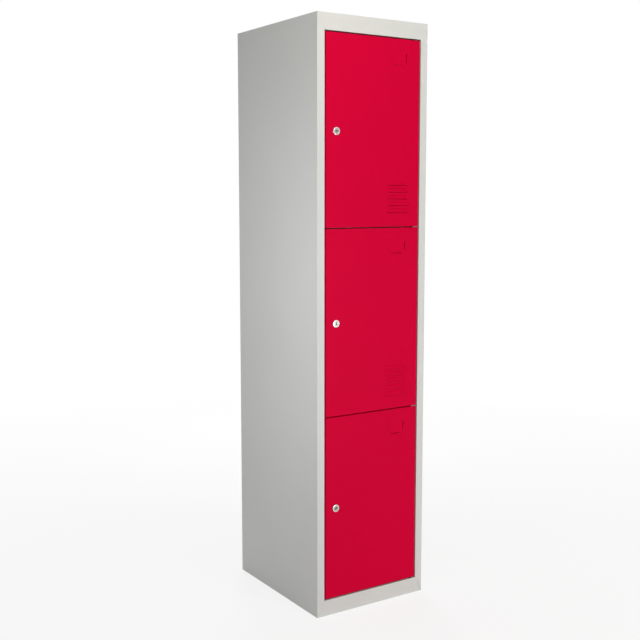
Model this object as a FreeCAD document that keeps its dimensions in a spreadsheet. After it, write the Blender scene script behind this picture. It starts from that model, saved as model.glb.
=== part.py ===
import FreeCAD, Part
import os
import re
import Sketcher
from FreeCAD import Placement, Rotation, Vector

# Three-compartment steel locker: a folded-sheet carcass, three pin-hung doors and a cam lock on each door.
# Millimetres. Origin at the centre of the base, +Z up, the doors face -Y, hinges at +X and locks at -X.

DIMENSIONS = [
    # Carcass
    ("cabinet_width", 380, "outside width of the carcass"),
    ("cabinet_depth", 450, "outside depth of the carcass"),
    ("cabinet_height", 1700, "outside height of the carcass"),
    ("wall", 0.8, "thickness of the steel sheet"),
    ("fold_share", 0.85, "outer radius of a fold as a share of the sheet"),
    ("stile_width", 24, "width of the front frame beside the doors"),
    ("head_height", 46, "height of the front frame above the doors"),
    ("sill_height", 46, "height of the front frame below the doors"),
    ("jamb_depth", 22, "depth of the frame's folded-back edges"),
    ("stop_lip", 12, "lip at the back of a jamb"),
    ("edge_flange", 16, "flanges where two panels are joined"),
    ("seam_gap", 0.4, "open seam between two panels of the frame"),
    ("rivet_radius", 2, "shank of a blind rivet"),
    ("rivet_head_radius", 4, "head of a blind rivet"),
    ("rivet_head_height", 1.2, "head height of a blind rivet"),
    ("rivet_crown", 2.4, "flat top of a rivet's head, from its axis"),
    ("rivet_margin", 70, "first rivet from the end of the back"),
    # Shelves
    ("shelf_rise", 8, "shelf surface above the meeting line of two doors"),
    ("shelf_fold", 26, "height of a shelf's front fold"),
    ("shelf_hem", 10, "hem under a shelf's front fold"),
    ("shelf_setback", 8, "shelf front behind the back of the doors"),
    # Doors
    ("side_gap", 4, "gap between a door's side and the frame"),
    ("door_thickness", 18, "depth of the door pan"),
    ("door_lip", 12, "lip round the back of the door pan"),
    ("stiffener_width", 40, "width of the stiffening channel"),
    ("stiffener_flange", 12, "welding flange of the channel"),
    ("stiffener_depth", 13, "depth of the channel"),
    ("stiffener_margin", 40, "channel end from the door's end"),
    ("buffer_radius", 5, "rubber door buffer"),
    ("buffer_gap", 0.3, "gap between a buffer and the closed door"),
    ("buffer_margin", 60, "buffer from the door's end"),
    # Hinges
    ("pivot_inset", 12, "hinge axis from the door's side"),
    ("pivot_setback", 6, "hinge axis behind the door's face"),
    ("plate_thickness", 1.5, "hinge plate between two doors"),
    ("end_plate_thickness", 3.2, "hinge plate on the sill or under the head"),
    ("plate_radius", 4.6, "round nose of a hinge plate"),
    ("plate_tab", 14, "welded tab of a hinge plate"),
    ("slot_gap", 0.2, "hinge plate in its slot"),
    ("pin_radius", 3, "hinge pin"),
    ("pin_reach", 12, "hinge pin beyond its plate"),
    ("pin_bevel", 0.6, "bevelled end of a hinge pin"),
    ("press_gap", 0.02, "pressed piece in its hole"),
    ("run_gap", 0.06, "turning piece in its bore"),
    ("bush_wall", 1.5, "wall of a nylon bush"),
    ("bush_length", 6, "bush inside the door"),
    ("bush_flange", 0.5, "bush rim between door and plate"),
    ("bush_rim", 1, "bush rim beyond the bush's body"),
    ("lift_gap", 0.25, "play between bush and plate"),
    # Locks
    ("lock_inset", 34, "lock axis from the door's side"),
    ("lock_flange_radius", 11, "visible rim of the lock"),
    ("lock_proud", 3.5, "lock rim in front of the door"),
    ("lock_bevel", 0.9, "bevelled edge of the lock rim"),
    ("barrel_radius", 9, "lock barrel"),
    ("barrel_gap", 0.1, "barrel in the door and the nut"),
    ("nut_radius", 13, "lock nut across its corners"),
    ("nut_height", 4, "lock nut"),
    ("plug_radius", 6, "turning plug of the lock"),
    ("plug_recess", 0.4, "plug behind the lock rim"),
    ("keyway_width", 2.2, "width of the keyway"),
    ("keyway_length", 8, "length of the keyway"),
    ("keyway_depth", 9, "depth of the keyway"),
    ("cam_clearance", 0.8, "cam behind the stop lip"),
    ("turn_gap", 0.3, "cam behind the barrel"),
    ("cam_length", 36, "cam from the lock axis to its tip"),
    ("cam_width", 16, "width of the cam"),
    ("cam_tip", 4, "cut-off corners at the cam's tip"),
    ("cam_thickness", 2.5, "cam plate"),
    ("shank_size", 7, "square drive on the plug"),
    ("shank_gap", 0.1, "square drive in the cam"),
    ("screw_radius", 2, "cam screw"),
    ("screw_depth", 8, "cam screw in the plug"),
    ("screw_head_radius", 5.5, "head of the cam screw"),
    ("screw_head_height", 2.5, "height of the cam screw's head"),
    ("screw_crown_radius", 3.85, "flat top of the cam screw's head"),
    ("screw_rim_height", 1, "straight side of the cam screw's head"),
    ("upper_keyway", 90, "turn of the upper keyway from upright, in degrees"),
    ("middle_keyway", 0, "turn of the middle keyway from upright, in degrees"),
    ("lower_keyway", 120, "turn of the lower keyway from upright, in degrees"),
    # Louvres and card holder
    ("vent_inset", 76, "middle of louvres and card holder from the door's hinge side"),
    ("vent_rise", 42, "lowest louvre above the door's bottom edge"),
    ("louvre_pitch", 19.2, "louvre to louvre"),
    ("louvre_length", 77, "length of a louvre"),
    ("louvre_height", 10, "height of a louvre"),
    ("louvre_depth", 3.5, "louvre in front of the door"),
    ("louvre_end", 9, "slope at each end of a louvre"),
    ("louvre_lip", 1.8, "flat lip of a louvre"),
    ("card_width", 64, "outside width of the card holder"),
    ("card_drop", 41, "card holder below the door's top edge"),
    ("card_height", 37, "height of the card holder"),
    ("tab_length", 23, "side tabs of the card holder"),
    ("foot_tab_length", 34, "foot tab of the card holder"),
    ("tab_reach", 4.5, "tab over the card's edge"),
    ("tab_standoff", 0.6, "room for the card behind a tab"),
    ("tab_gap", 0.8, "slot beyond a tab's free edge"),
]
DOORS = ("lower", "middle", "upper")
LOUVRED_DOORS = ("middle", "upper")
LOUVRES = 5
RIVETS_PER_SIDE = 6
NUT_SIDES = 6
HINGE_SIDE = 1
LOCK_SIDE = -1
LEAST_BITE = 1e-3  # cubic millimetres that an opening has to take away
NEAR = 1e-4  # millimetres within which two places are the same

doc = FreeCAD.newDocument("locker")
sheet = doc.addObject("Spreadsheet::Sheet", "Sheet")
for row, (alias, amount, meaning) in enumerate(DIMENSIONS, start=1):
    sheet.set(f"A{row}", meaning)
    sheet.set(f"B{row}", str(amount))
    sheet.setAlias(f"B{row}", alias)
doc.recompute()
ALIASES = {alias for alias, amount, meaning in DIMENSIONS}
nodes = []

# Places that several pieces share, as expressions on the table
FRONT = "(-cabinet_depth / 2)"
BACK = "(cabinet_depth / 2)"
HALF_WIDTH = "(cabinet_width / 2)"
INNER_HALF = "(cabinet_width / 2 - wall)"
OPENING_HALF = "(cabinet_width / 2 - stile_width)"
RAIL_HALF = "(cabinet_width / 2 - stile_width - seam_gap)"
HEAD = "(cabinet_height - head_height)"
DOOR_HALF = "(cabinet_width / 2 - stile_width - side_gap)"
DOOR_REAR = f"({FRONT} + door_thickness)"
END_GAP = "(end_plate_thickness + bush_flange + lift_gap)"
MEETING_GAP = "(plate_thickness + 2 * (bush_flange + lift_gap))"
DOOR_HEIGHT = f"(({HEAD} - sill_height - 2 * {END_GAP} - 2 * {MEETING_GAP}) / 3)"
SHELF_FRONT = f"({DOOR_REAR} + shelf_setback)"
PIVOT_X = f"({DOOR_HALF} - pivot_inset)"
PIVOT_Y = f"({FRONT} + pivot_setback)"
BUSH_RADIUS = "(pin_radius + run_gap + bush_wall)"
LOCK_X = f"(lock_inset - {DOOR_HALF})"
CAM_DEPTH = "(jamb_depth + cam_clearance)"
VENT_X = f"({DOOR_HALF} - vent_inset)"


def bind(text):
    """An expression on the table's own names, in the form that the document reads."""
    return re.sub(r"[a-z]\w*", lambda word: f"Sheet.{word[0]}" if word[0] in ALIASES else word[0], text)


def number(text):
    """The present value of an expression on the table."""
    return float(sheet.evalExpression(bind(text)))


def door_bottom(level):
    """Height of a door's lower edge; level 0 is the lowest door."""
    return f"(sill_height + {END_GAP} + {level} * ({DOOR_HEIGHT} + {MEETING_GAP}))"


def door_top(level):
    return f"({door_bottom(level)} + {DOOR_HEIGHT})"


def door_middle(level):
    return f"({door_bottom(level)} + {DOOR_HEIGHT} / 2)"


def meeting_line(level):
    """Height midway between a door and the door below it."""
    return f"({door_bottom(level)} - {MEETING_GAP} / 2)"


def node(label, solid):
    """Names a finished piece; the label is its file name."""
    solid.Label = label
    nodes.append(solid)
    return solid


def move_to(solid, x, y, z):
    for axis, text in zip("xyz", (x, y, z)):
        solid.setExpression(f"Placement.Base.{axis}", bind(text))
    return solid


def block(name, low, high):
    """A rectangular solid between two corners."""
    solid = doc.addObject("Part::Box", name)
    for size, start, end in zip(("Length", "Width", "Height"), low, high):
        solid.setExpression(size, bind(f"{end} - ({start})"))
    return move_to(solid, *low)


def rod(name, radius, length, place, turn=Rotation()):
    """A cylinder; unturned, it runs up from its place."""
    solid = doc.addObject("Part::Cylinder", name)
    solid.setExpression("Radius", bind(radius))
    solid.setExpression("Height", bind(length))
    solid.Placement = Placement(Vector(), turn)
    return move_to(solid, *place)


def wedge(name, near, far, depths, place, turn):
    """A block that tapers along its own Y axis; near and far are (x low, x high, z low, z high)."""
    solid = doc.addObject("Part::Wedge", name)
    for size, text in zip(("Xmin", "Xmax", "Zmin", "Zmax"), near):
        solid.setExpression(size, bind(text))
    for size, text in zip(("X2min", "X2max", "Z2min", "Z2max"), far):
        solid.setExpression(size, bind(text))
    for size, text in zip(("Ymin", "Ymax"), depths):
        solid.setExpression(size, bind(text))
    solid.Placement = Placement(Vector(), turn)
    return move_to(solid, *place)


def joined(name, solids):
    """Walls of one folded sheet, or features of one piece, made one solid."""
    solid = doc.addObject("Part::MultiFuse", name)
    solid.Shapes = solids
    solid.Refine = True
    return solid


def cut(name, base, tools):
    """A piece with openings taken out of it, all of which have to bite."""
    solid = doc.addObject("Part::Cut", name)
    solid.Base = base
    solid.Tool = tools[0] if len(tools) == 1 else joined(f"{name}_openings", tools)
    solid.Refine = True
    doc.recompute()
    if solid.Shape.Volume > base.Shape.Volume - LEAST_BITE:
        raise RuntimeError(f"{name}: the openings cut nothing")
    return solid


def group(label, solids):
    """Like pieces that share one node and stay separate solids."""
    solid = doc.addObject("Part::Compound", label)
    solid.Links = solids
    return node(label, solid)


def on_axis(edge, axis, fixed):
    """Whether a straight edge runs along an axis at the given other coordinates."""
    if len(edge.Vertexes) != 2:
        return False
    first, last = (vertex.Point for vertex in edge.Vertexes)
    along = abs(getattr(first - last, axis)) > edge.Length - NEAR
    return along and all(abs(getattr(first, other) - value) < NEAR for other, value in fixed.items())


def folded(name, base, folds):
    """Rounds the outer edges of a sheet's folds; each is (axis, its other coordinates)."""
    doc.recompute()
    lines = [(axis, {other: number(text) for other, text in fixed.items()}) for axis, fixed in folds]
    radius = number("fold_share * wall")
    chosen = []
    for index, edge in enumerate(base.Shape.Edges, start=1):
        if any(on_axis(edge, axis, fixed) for axis, fixed in lines):
            chosen.append((index, radius, radius))
    solid = doc.addObject("Part::Fillet", name)
    solid.Base = base
    solid.Edges = chosen
    return solid


def origin_plane(body, role):
    return next(item for item in body.Origin.OriginFeatures if item.Role == role)


def outline(body, name, plane, loops, lift="0", twist="0"):
    """A sketch of straight-sided closed loops, with the distances of each corner bound to the table."""
    sketch = body.newObject("Sketcher::SketchObject", name)
    sketch.AttachmentSupport = [(origin_plane(body, plane), "")]
    sketch.MapMode = "FlatFace"
    sketch.setExpression("AttachmentOffset.Base.z", bind(lift))
    sketch.setExpression("AttachmentOffset.Rotation.Angle", bind(twist))
    for loop in loops:
        first = sketch.GeometryCount
        corners = [Vector(number(across), number(up), 0) for across, up in loop]
        for start, end in zip(corners, corners[1:] + corners[:1]):
            sketch.addGeometry(Part.LineSegment(start, end))
        for step, (texts, corner) in enumerate(zip(loop, corners)):
            here = first + step
            after = first + (step + 1) % len(loop)
            sketch.addConstraint(Sketcher.Constraint("Coincident", here, 2, after, 1))
            for kind, text, amount in zip(("DistanceX", "DistanceY"), texts, corner):
                place = sketch.addConstraint(Sketcher.Constraint(kind, -1, 1, here, 1, amount))
                sketch.setExpression(f"Constraints[{place}]", bind(text))
    doc.recompute()
    return sketch


def placed(body, x, y, z, turn=Rotation()):
    body.Placement = Placement(Vector(), turn)
    return move_to(body, x, y, z)


def turned(name, profile):
    """A piece turned about its own Z axis; the profile's corners are (radius, height)."""
    body = doc.addObject("PartDesign::Body", name)
    sketch = outline(body, f"{name}_profile", "XZ_Plane", [profile])
    spin = body.newObject("PartDesign::Revolution", f"{name}_turned")
    spin.Profile = sketch
    spin.ReferenceAxis = (sketch, ["V_Axis"])
    spin.Angle = 360
    doc.recompute()
    return body


def padded(body, name, loops, lift, length):
    """A plate that runs downwards from its outline."""
    pad = body.newObject("PartDesign::Pad", name)
    pad.Profile = outline(body, f"{name}_outline", "XY_Plane", loops, lift)
    pad.setExpression("Length", bind(length))
    pad.Reversed = True
    doc.recompute()
    return pad


def pocketed(body, name, loops, lift, length, twist):
    """A pocket cut downwards from its sketch, which is turned about the body's axis."""
    before = body.Shape.Volume
    pocket = body.newObject("PartDesign::Pocket", name)
    pocket.Profile = outline(body, f"{name}_outline", "XY_Plane", loops, lift, twist)
    pocket.setExpression("Length", bind(length))
    doc.recompute()
    if body.Shape.Volume > before - LEAST_BITE:
        raise RuntimeError(f"{name}: the pocket cuts nothing")
    return pocket


def rectangle(half_across, half_up):
    return [
        (f"-{half_across}", f"-{half_up}"),
        (half_across, f"-{half_up}"),
        (half_across, half_up),
        (f"-{half_across}", half_up),
    ]


# Local Z of a lock or a rivet head points out of the front or the back of the locker
TO_FRONT = Rotation(Vector(1, 0, 0), 90)
TO_BACK = Rotation(Vector(1, 0, 0), -90)
UPSIDE_DOWN = Rotation(Vector(1, 0, 0), 180)


# Side panels: web, stile, jamb and lip in front, flanges round the other edges
def from_side(side, near, far):
    """The two X places of a wall given by its distances inwards from the carcass's side."""
    if side == LOCK_SIDE:
        return f"({near} - {HALF_WIDTH})", f"({far} - {HALF_WIDTH})"
    return f"({HALF_WIDTH} - ({far}))", f"({HALF_WIDTH} - ({near}))"


def side_wall(name, side, inward, deep, high):
    left, right = from_side(side, *inward)
    return block(name, (left, deep[0], high[0]), (right, deep[1], high[1]))


def stile_face(name, side):
    """The mitred strip beside the doors, tapering to the frame's outer corners."""
    near = ("0", "wall", "0", "cabinet_height - wall")
    far = ("0", "wall", "sill_height", HEAD)
    edge = from_side(side, "0", "0")[0]
    if side == HINGE_SIDE:
        return wedge(name, near, far, ("0", "stile_width"), (edge, FRONT, "0"), Rotation(Vector(0, 0, 1), 90))
    place = (edge, f"{FRONT} + wall", "0")
    return wedge(name, near, far, ("0", "stile_width"), place, Rotation(Vector(0, 0, 1), -90))


def side_panel(name, side):
    lip = ("stile_width - wall", "stile_width + stop_lip")
    if side == HINGE_SIDE:
        lip = ("stile_width - stop_lip", "stile_width")
    jamb_back = f"({FRONT} + jamb_depth)"
    opening = ("sill_height", HEAD)
    tall = ("0", "cabinet_height - wall")
    behind_face = (f"{FRONT} + wall + seam_gap", BACK)
    walls = [
        side_wall(f"{name}_web", side, ("0", "wall"), (FRONT, BACK), tall),
        stile_face(f"{name}_stile", side),
        side_wall(f"{name}_jamb", side, ("stile_width - wall", "stile_width"), (FRONT, jamb_back), opening),
        side_wall(f"{name}_lip", side, lip, (f"{jamb_back} - wall", jamb_back), opening),
        side_wall(f"{name}_rear", side, ("0", "edge_flange"), (f"{BACK} - wall", BACK), tall),
        side_wall(f"{name}_foot", side, ("0", "edge_flange"), behind_face, ("0", "wall")),
        side_wall(
            f"{name}_top", side, ("0", "edge_flange"), behind_face,
            ("cabinet_height - 2 * wall", "cabinet_height - wall"),
        ),
    ]
    outer = from_side(side, "0", "0")[0]
    inner = from_side(side, "stile_width", "stile_width")[0]
    folds = [
        ("z", {"x": outer, "y": FRONT}),
        ("z", {"x": outer, "y": BACK}),
        ("z", {"x": inner, "y": FRONT}),
    ]
    return folded(f"{name}_folded", joined(f"{name}_walls", walls), folds)


def rivet_places():
    """Where the back panel is riveted to the rear flanges of the sides."""
    for side in (LOCK_SIDE, HINGE_SIDE):
        for step in range(RIVETS_PER_SIDE):
            across = from_side(side, "edge_flange / 2", "edge_flange / 2")[0]
            spread = f"(cabinet_height - 2 * rivet_margin) * {step} / {RIVETS_PER_SIDE - 1}"
            yield side, across, f"(rivet_margin + {spread})"


def rivet_holes(name, sides, front, back):
    length = f"{back} - ({front})"
    return [
        rod(f"{name}_rivet_hole", "rivet_radius + press_gap", length, (across, front, height), TO_BACK)
        for side, across, height in rivet_places() if side in sides
    ]


def plate_slots():
    """Slots in the hinge-side jamb that the two middle hinge plates pass through."""
    reach = "(plate_radius + slot_gap)"
    half = "(plate_thickness / 2 + slot_gap)"
    return [
        block(
            "plate_slot",
            (f"{OPENING_HALF} - slot_gap", f"{PIVOT_Y} - {reach}", f"{meeting_line(level)} - {half}"),
            (f"{OPENING_HALF} + wall + slot_gap", f"{PIVOT_Y} + {reach}", f"{meeting_line(level)} + {half}"),
        )
        for level in (1, 2)
    ]


FLANGE_SPAN = (f"{BACK} - 2 * wall", f"{BACK} + wall")
left_holes = rivet_holes("left_side", (LOCK_SIDE,), *FLANGE_SPAN)
right_holes = rivet_holes("right_side", (HINGE_SIDE,), *FLANGE_SPAN)
node("left_side_panel", cut("left_side", side_panel("left", LOCK_SIDE), left_holes))
node("right_side_panel", cut("right_side", side_panel("right", HINGE_SIDE), right_holes + plate_slots()))


# Front rails of the top and base panels, mitred to the stiles
def rail(name, bottom, height, wide_end_up):
    wide = (f"-({INNER_HALF} - seam_gap)", f"{INNER_HALF} - seam_gap", "0", "wall")
    narrow = (f"-{RAIL_HALF}", RAIL_HALF, "0", "wall")
    near, far = (narrow, wide) if wide_end_up else (wide, narrow)
    return wedge(name, near, far, ("0", height), ("0", f"{FRONT} + wall", bottom), TO_FRONT)


def span(name, half, deep, high):
    """A wall that runs across the carcass, the same distance each way from its middle."""
    return block(name, (f"-{half}", deep[0], high[0]), (half, deep[1], high[1]))


# Top panel: a lid that lies on the sides' flanges, with the front rail and its folded head
flange_half = f"({HALF_WIDTH} - edge_flange - seam_gap)"
jamb_back = f"({FRONT} + jamb_depth)"
top_walls = [
    span("top_web", HALF_WIDTH, (FRONT, BACK), ("cabinet_height - wall", "cabinet_height")),
    rail("top_rail", HEAD, "head_height", True),
    span("top_head", RAIL_HALF, (FRONT, jamb_back), (HEAD, f"{HEAD} + wall")),
    span("top_lip", RAIL_HALF, (f"{jamb_back} - wall", jamb_back), (HEAD, f"{HEAD} + stop_lip")),
    span(
        "top_rear", flange_half, (f"{BACK} - wall", BACK),
        ("cabinet_height - edge_flange", "cabinet_height"),
    ),
]
top_folds = [
    ("x", {"y": FRONT, "z": "cabinet_height"}),
    ("x", {"y": BACK, "z": "cabinet_height"}),
    ("x", {"y": FRONT, "z": HEAD}),
]
node("top_panel", folded("top_folded", joined("top_walls", top_walls), top_folds))

# Base panel: the floor of the lowest compartment, on walls that stand on the sides' foot flanges
floor_front = f"({FRONT} + wall + seam_gap)"
back_inside = f"({BACK} - 2 * wall)"
base_walls = [
    span("base_floor", INNER_HALF, (floor_front, back_inside), ("sill_height - wall", "sill_height")),
    span("base_sill", RAIL_HALF, (FRONT, jamb_back), ("sill_height - wall", "sill_height")),
    rail("base_rail", "0", "sill_height", False),
    span("base_foot", flange_half, (FRONT, f"{FRONT} + edge_flange"), ("0", "wall")),
    span("base_rear", INNER_HALF, (f"{back_inside} - wall", back_inside), ("wall", "sill_height")),
]
for side, name in ((LOCK_SIDE, "base_left"), (HINGE_SIDE, "base_right")):
    base_walls.append(side_wall(
        name, side, ("wall", "2 * wall"), (floor_front, back_inside), ("wall", "sill_height"),
    ))
base_folds = [("x", {"y": FRONT, "z": "sill_height"})]
node("base_panel", folded("base_folded", joined("base_walls", base_walls), base_folds))

# Back panel: a flat sheet inside the sides' rear flanges, held by blind rivets
back_sheet = span(
    "back_sheet", INNER_HALF, (back_inside, f"{BACK} - wall"), ("wall", "cabinet_height - 2 * wall"),
)
node("back_panel", cut("back", back_sheet, rivet_holes("back", (LOCK_SIDE, HINGE_SIDE), *FLANGE_SPAN)))

rivets = []
for side, across, height in rivet_places():
    profile = [
        ("0", "-2 * wall"),
        ("rivet_radius", "-2 * wall"),
        ("rivet_radius", "0"),
        ("rivet_head_radius", "0"),
        ("rivet_crown", "rivet_head_height"),
        ("0", "rivet_head_height"),
    ]
    rivets.append(placed(turned("rivet", profile), across, BACK, height, TO_BACK))
group("back_rivets", rivets)

# Shelves: folded trays that back the meeting lines of the doors
for level, label in ((1, "lower_shelf"), (2, "upper_shelf")):
    surface = f"({meeting_line(level)} + shelf_rise)"
    fold_end = f"({surface} - shelf_fold)"
    flange = (f"{surface} - edge_flange", surface)
    deep = (SHELF_FRONT, back_inside)
    shelf_walls = [
        span(f"{label}_deck", INNER_HALF, deep, (f"{surface} - wall", surface)),
        span(f"{label}_fold", INNER_HALF, (SHELF_FRONT, f"{SHELF_FRONT} + wall"), (fold_end, surface)),
        span(
            f"{label}_hem", INNER_HALF, (SHELF_FRONT, f"{SHELF_FRONT} + shelf_hem"),
            (fold_end, f"{fold_end} + wall"),
        ),
        span(f"{label}_rear", INNER_HALF, (f"{back_inside} - wall", back_inside), flange),
        side_wall(f"{label}_left", LOCK_SIDE, ("wall", "2 * wall"), deep, flange),
        side_wall(f"{label}_right", HINGE_SIDE, ("wall", "2 * wall"), deep, flange),
    ]
    shelf_folds = [
        ("x", {"y": SHELF_FRONT, "z": surface}),
        ("x", {"y": SHELF_FRONT, "z": fold_end}),
    ]
    node(label, folded(f"{label}_folded", joined(f"{label}_walls", shelf_walls), shelf_folds))


# Hinge plates: flat noses in the gaps between the doors, and round plates on the sill and under the head
def hinge_nose(label, bottom, thickness):
    return rod(f"{label}_nose", "plate_radius", thickness, (PIVOT_X, PIVOT_Y, bottom))


def bored(label, bottom, thickness, plate):
    """A hinge plate with the hole that its pin is pressed into."""
    hole = rod(f"{label}_hole", "pin_radius + press_gap", thickness, (PIVOT_X, PIVOT_Y, bottom))
    node(label, cut(f"{label}_bored", plate, [hole]))


def end_plate(label, bottom):
    """A round plate at the foot or the head of the row of doors."""
    bored(label, bottom, "end_plate_thickness", hinge_nose(label, bottom, "end_plate_thickness"))


def gap_plate(label, bottom):
    """A plate that passes through the jamb, with its tab welded behind it."""
    top = f"({bottom} + plate_thickness)"
    tab = f"({OPENING_HALF} + wall)"
    tail = f"({tab} + plate_thickness)"
    edges = (f"{PIVOT_Y} - plate_radius", f"{PIVOT_Y} + plate_radius")
    solids = [
        hinge_nose(label, bottom, "plate_thickness"),
        block(f"{label}_bar", (PIVOT_X, edges[0], bottom), (tail, edges[1], top)),
        block(f"{label}_tab", (tab, edges[0], f"{bottom} - plate_tab"), (tail, edges[1], top)),
    ]
    bored(label, bottom, "plate_thickness", joined(f"{label}_flat", solids))


def hinge_pin(label, bottom, top):
    length = f"({top} - ({bottom}))"
    profile = [
        ("0", "0"),
        ("pin_radius - pin_bevel", "0"),
        ("pin_radius", "pin_bevel"),
        ("pin_radius", f"{length} - pin_bevel"),
        ("pin_radius - pin_bevel", length),
        ("0", length),
    ]
    node(label, placed(turned(f"{label}_body", profile), PIVOT_X, PIVOT_Y, bottom))


end_plate("sill_hinge_plate", "sill_height")
hinge_pin("sill_hinge_pin", "sill_height", "sill_height + end_plate_thickness + pin_reach")
for level, name in ((1, "lower"), (2, "upper")):
    plate_bottom = f"({meeting_line(level)} - plate_thickness / 2)"
    gap_plate(f"{name}_hinge_plate", plate_bottom)
    hinge_pin(
        f"{name}_hinge_pin",
        f"{plate_bottom} - pin_reach",
        f"{plate_bottom} + plate_thickness + pin_reach",
    )
end_plate("head_hinge_plate", f"({HEAD} - end_plate_thickness)")
hinge_pin("head_hinge_pin", f"{HEAD} - end_plate_thickness - pin_reach", HEAD)

# Rubber buffers on the lock-side stop lip, two for each door
buffer_seat = f"({FRONT} + jamb_depth - wall)"
buffer_depth = f"({buffer_seat} - {DOOR_REAR} - buffer_gap)"
buffer_x = f"(-{OPENING_HALF} + stop_lip / 2)"
buffers = []
for level in range(len(DOORS)):
    for height in (f"{door_bottom(level)} + buffer_margin", f"{door_top(level)} - buffer_margin"):
        place = (buffer_x, buffer_seat, height)
        buffers.append(rod("buffer", "buffer_radius", buffer_depth, place, TO_FRONT))
group("door_buffers", buffers)


# Louvres: strips pressed out of the door, open at their lower edge
def louvre(name, bottom):
    """The pressed-out shell and the hollow behind it."""
    half = "louvre_length / 2"
    facing = Rotation(Vector(0, 0, 1), 180)
    place = (VENT_X, FRONT, bottom)
    shell = wedge(
        f"{name}_shell",
        (f"-{half}", half, "0", "louvre_height"),
        (f"louvre_end - {half}", f"{half} - louvre_end", "0", "louvre_lip"),
        ("-wall", "louvre_depth"), place, facing,
    )
    hollow = wedge(
        f"{name}_hollow",
        (f"2 * wall - {half}", f"{half} - 2 * wall", "-wall", "louvre_height - 2 * wall"),
        (f"louvre_end + wall - {half}", f"{half} - louvre_end - wall", "-wall", "louvre_lip - wall"),
        ("-2 * wall", "louvre_depth - wall"), place, facing,
    )
    return shell, hollow


# Card holder: three tabs lanced from the door's face, open at the top for the card
def card_tabs(name, level):
    """The tabs, and the windows that they were lanced from."""
    face = f"{FRONT} + wall"
    outer = f"({FRONT} - tab_standoff - wall)"
    inner = f"({outer} + wall)"
    left = f"({VENT_X} - card_width / 2)"
    right = f"({VENT_X} + card_width / 2)"
    top = f"({door_top(level)} - card_drop)"
    foot = f"({top} - card_height)"
    foot_left = f"({VENT_X} - foot_tab_length / 2)"
    foot_right = f"({VENT_X} + foot_tab_length / 2)"
    strips = {"left": (left, f"{left} + tab_reach"), "right": (f"{right} - tab_reach", right)}
    risers = {"left": (left, f"{left} + wall"), "right": (f"{right} - wall", right)}
    slots = {
        "left": (left, f"{left} + tab_reach + tab_gap"),
        "right": (f"{right} - tab_reach - tab_gap", right),
    }
    low = f"{top} - tab_length"
    tabs = []
    windows = []
    for key in strips:
        strip, riser, slot = strips[key], risers[key], slots[key]
        tabs.append(block(f"{name}_{key}_strip", (strip[0], outer, low), (strip[1], inner, top)))
        tabs.append(block(f"{name}_{key}_riser", (riser[0], outer, low), (riser[1], face, top)))
        windows.append(block(f"{name}_{key}_window", (slot[0], FRONT, low), (slot[1], face, top)))
    strip_top = f"{foot} + tab_reach"
    tabs.append(block(f"{name}_foot_strip", (foot_left, outer, foot), (foot_right, inner, strip_top)))
    tabs.append(block(f"{name}_foot_riser", (foot_left, outer, foot), (foot_right, face, f"{foot} + wall")))
    slot_top = f"{strip_top} + tab_gap"
    windows.append(block(f"{name}_foot_window", (foot_left, FRONT, foot), (foot_right, face, slot_top)))
    return tabs, windows


# Door skins: folded pans with louvres, card holder, lock hole and bush holes
def door_skin(door, level):
    low = door_bottom(level)
    high = door_top(level)
    name = f"{door}_door"
    pan = span(f"{name}_pan", DOOR_HALF, (FRONT, DOOR_REAR), (low, high))
    hollow = span(
        f"{name}_hollow", f"({DOOR_HALF} - wall)",
        (f"{FRONT} + wall", f"{DOOR_REAR} - wall"), (f"{low} + wall", f"{high} - wall"),
    )
    window = span(
        f"{name}_window", f"({DOOR_HALF} - door_lip)",
        (f"{DOOR_REAR} - 2 * wall", f"{DOOR_REAR} + wall"), (f"{low} + door_lip", f"{high} - door_lip"),
    )
    folds = [("z", {"x": f"{sign}{DOOR_HALF}", "y": FRONT}) for sign in ("-", "")]
    folds += [("x", {"y": FRONT, "z": height}) for height in (low, high)]
    folds += [("y", {"x": f"{sign}{DOOR_HALF}", "z": height}) for sign in ("-", "") for height in (low, high)]
    skin = folded(f"{name}_folded", cut(f"{name}_shell", pan, [hollow, window]), folds)
    doc.recompute()
    bush_hole = f"{BUSH_RADIUS} + press_gap"
    openings = [
        rod(f"{name}_foot_hole", bush_hole, "2 * wall", (PIVOT_X, PIVOT_Y, f"{low} - wall / 2")),
        rod(f"{name}_head_hole", bush_hole, "2 * wall", (PIVOT_X, PIVOT_Y, f"{high} - 3 * wall / 2")),
        rod(
            f"{name}_lock_hole", "barrel_radius + barrel_gap", "2 * wall",
            (LOCK_X, f"{FRONT} + 3 * wall / 2", door_middle(level)), TO_FRONT,
        ),
    ]
    raised, windows = card_tabs(f"{name}_card", level)
    hollows = []
    if door in LOUVRED_DOORS:
        for step in range(LOUVRES):
            shell, slot = louvre(f"{name}_louvre", f"{low} + vent_rise + {step} * louvre_pitch")
            raised.append(shell)
            hollows.append(slot)
    pierced = cut(f"{name}_pierced", skin, openings + windows)
    pressed = joined(f"{name}_pressed", [pierced] + raised)
    doc.recompute()
    finished = cut(f"{name}_opened", pressed, hollows) if hollows else pressed
    node(f"{door}_door_skin", finished)


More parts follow.
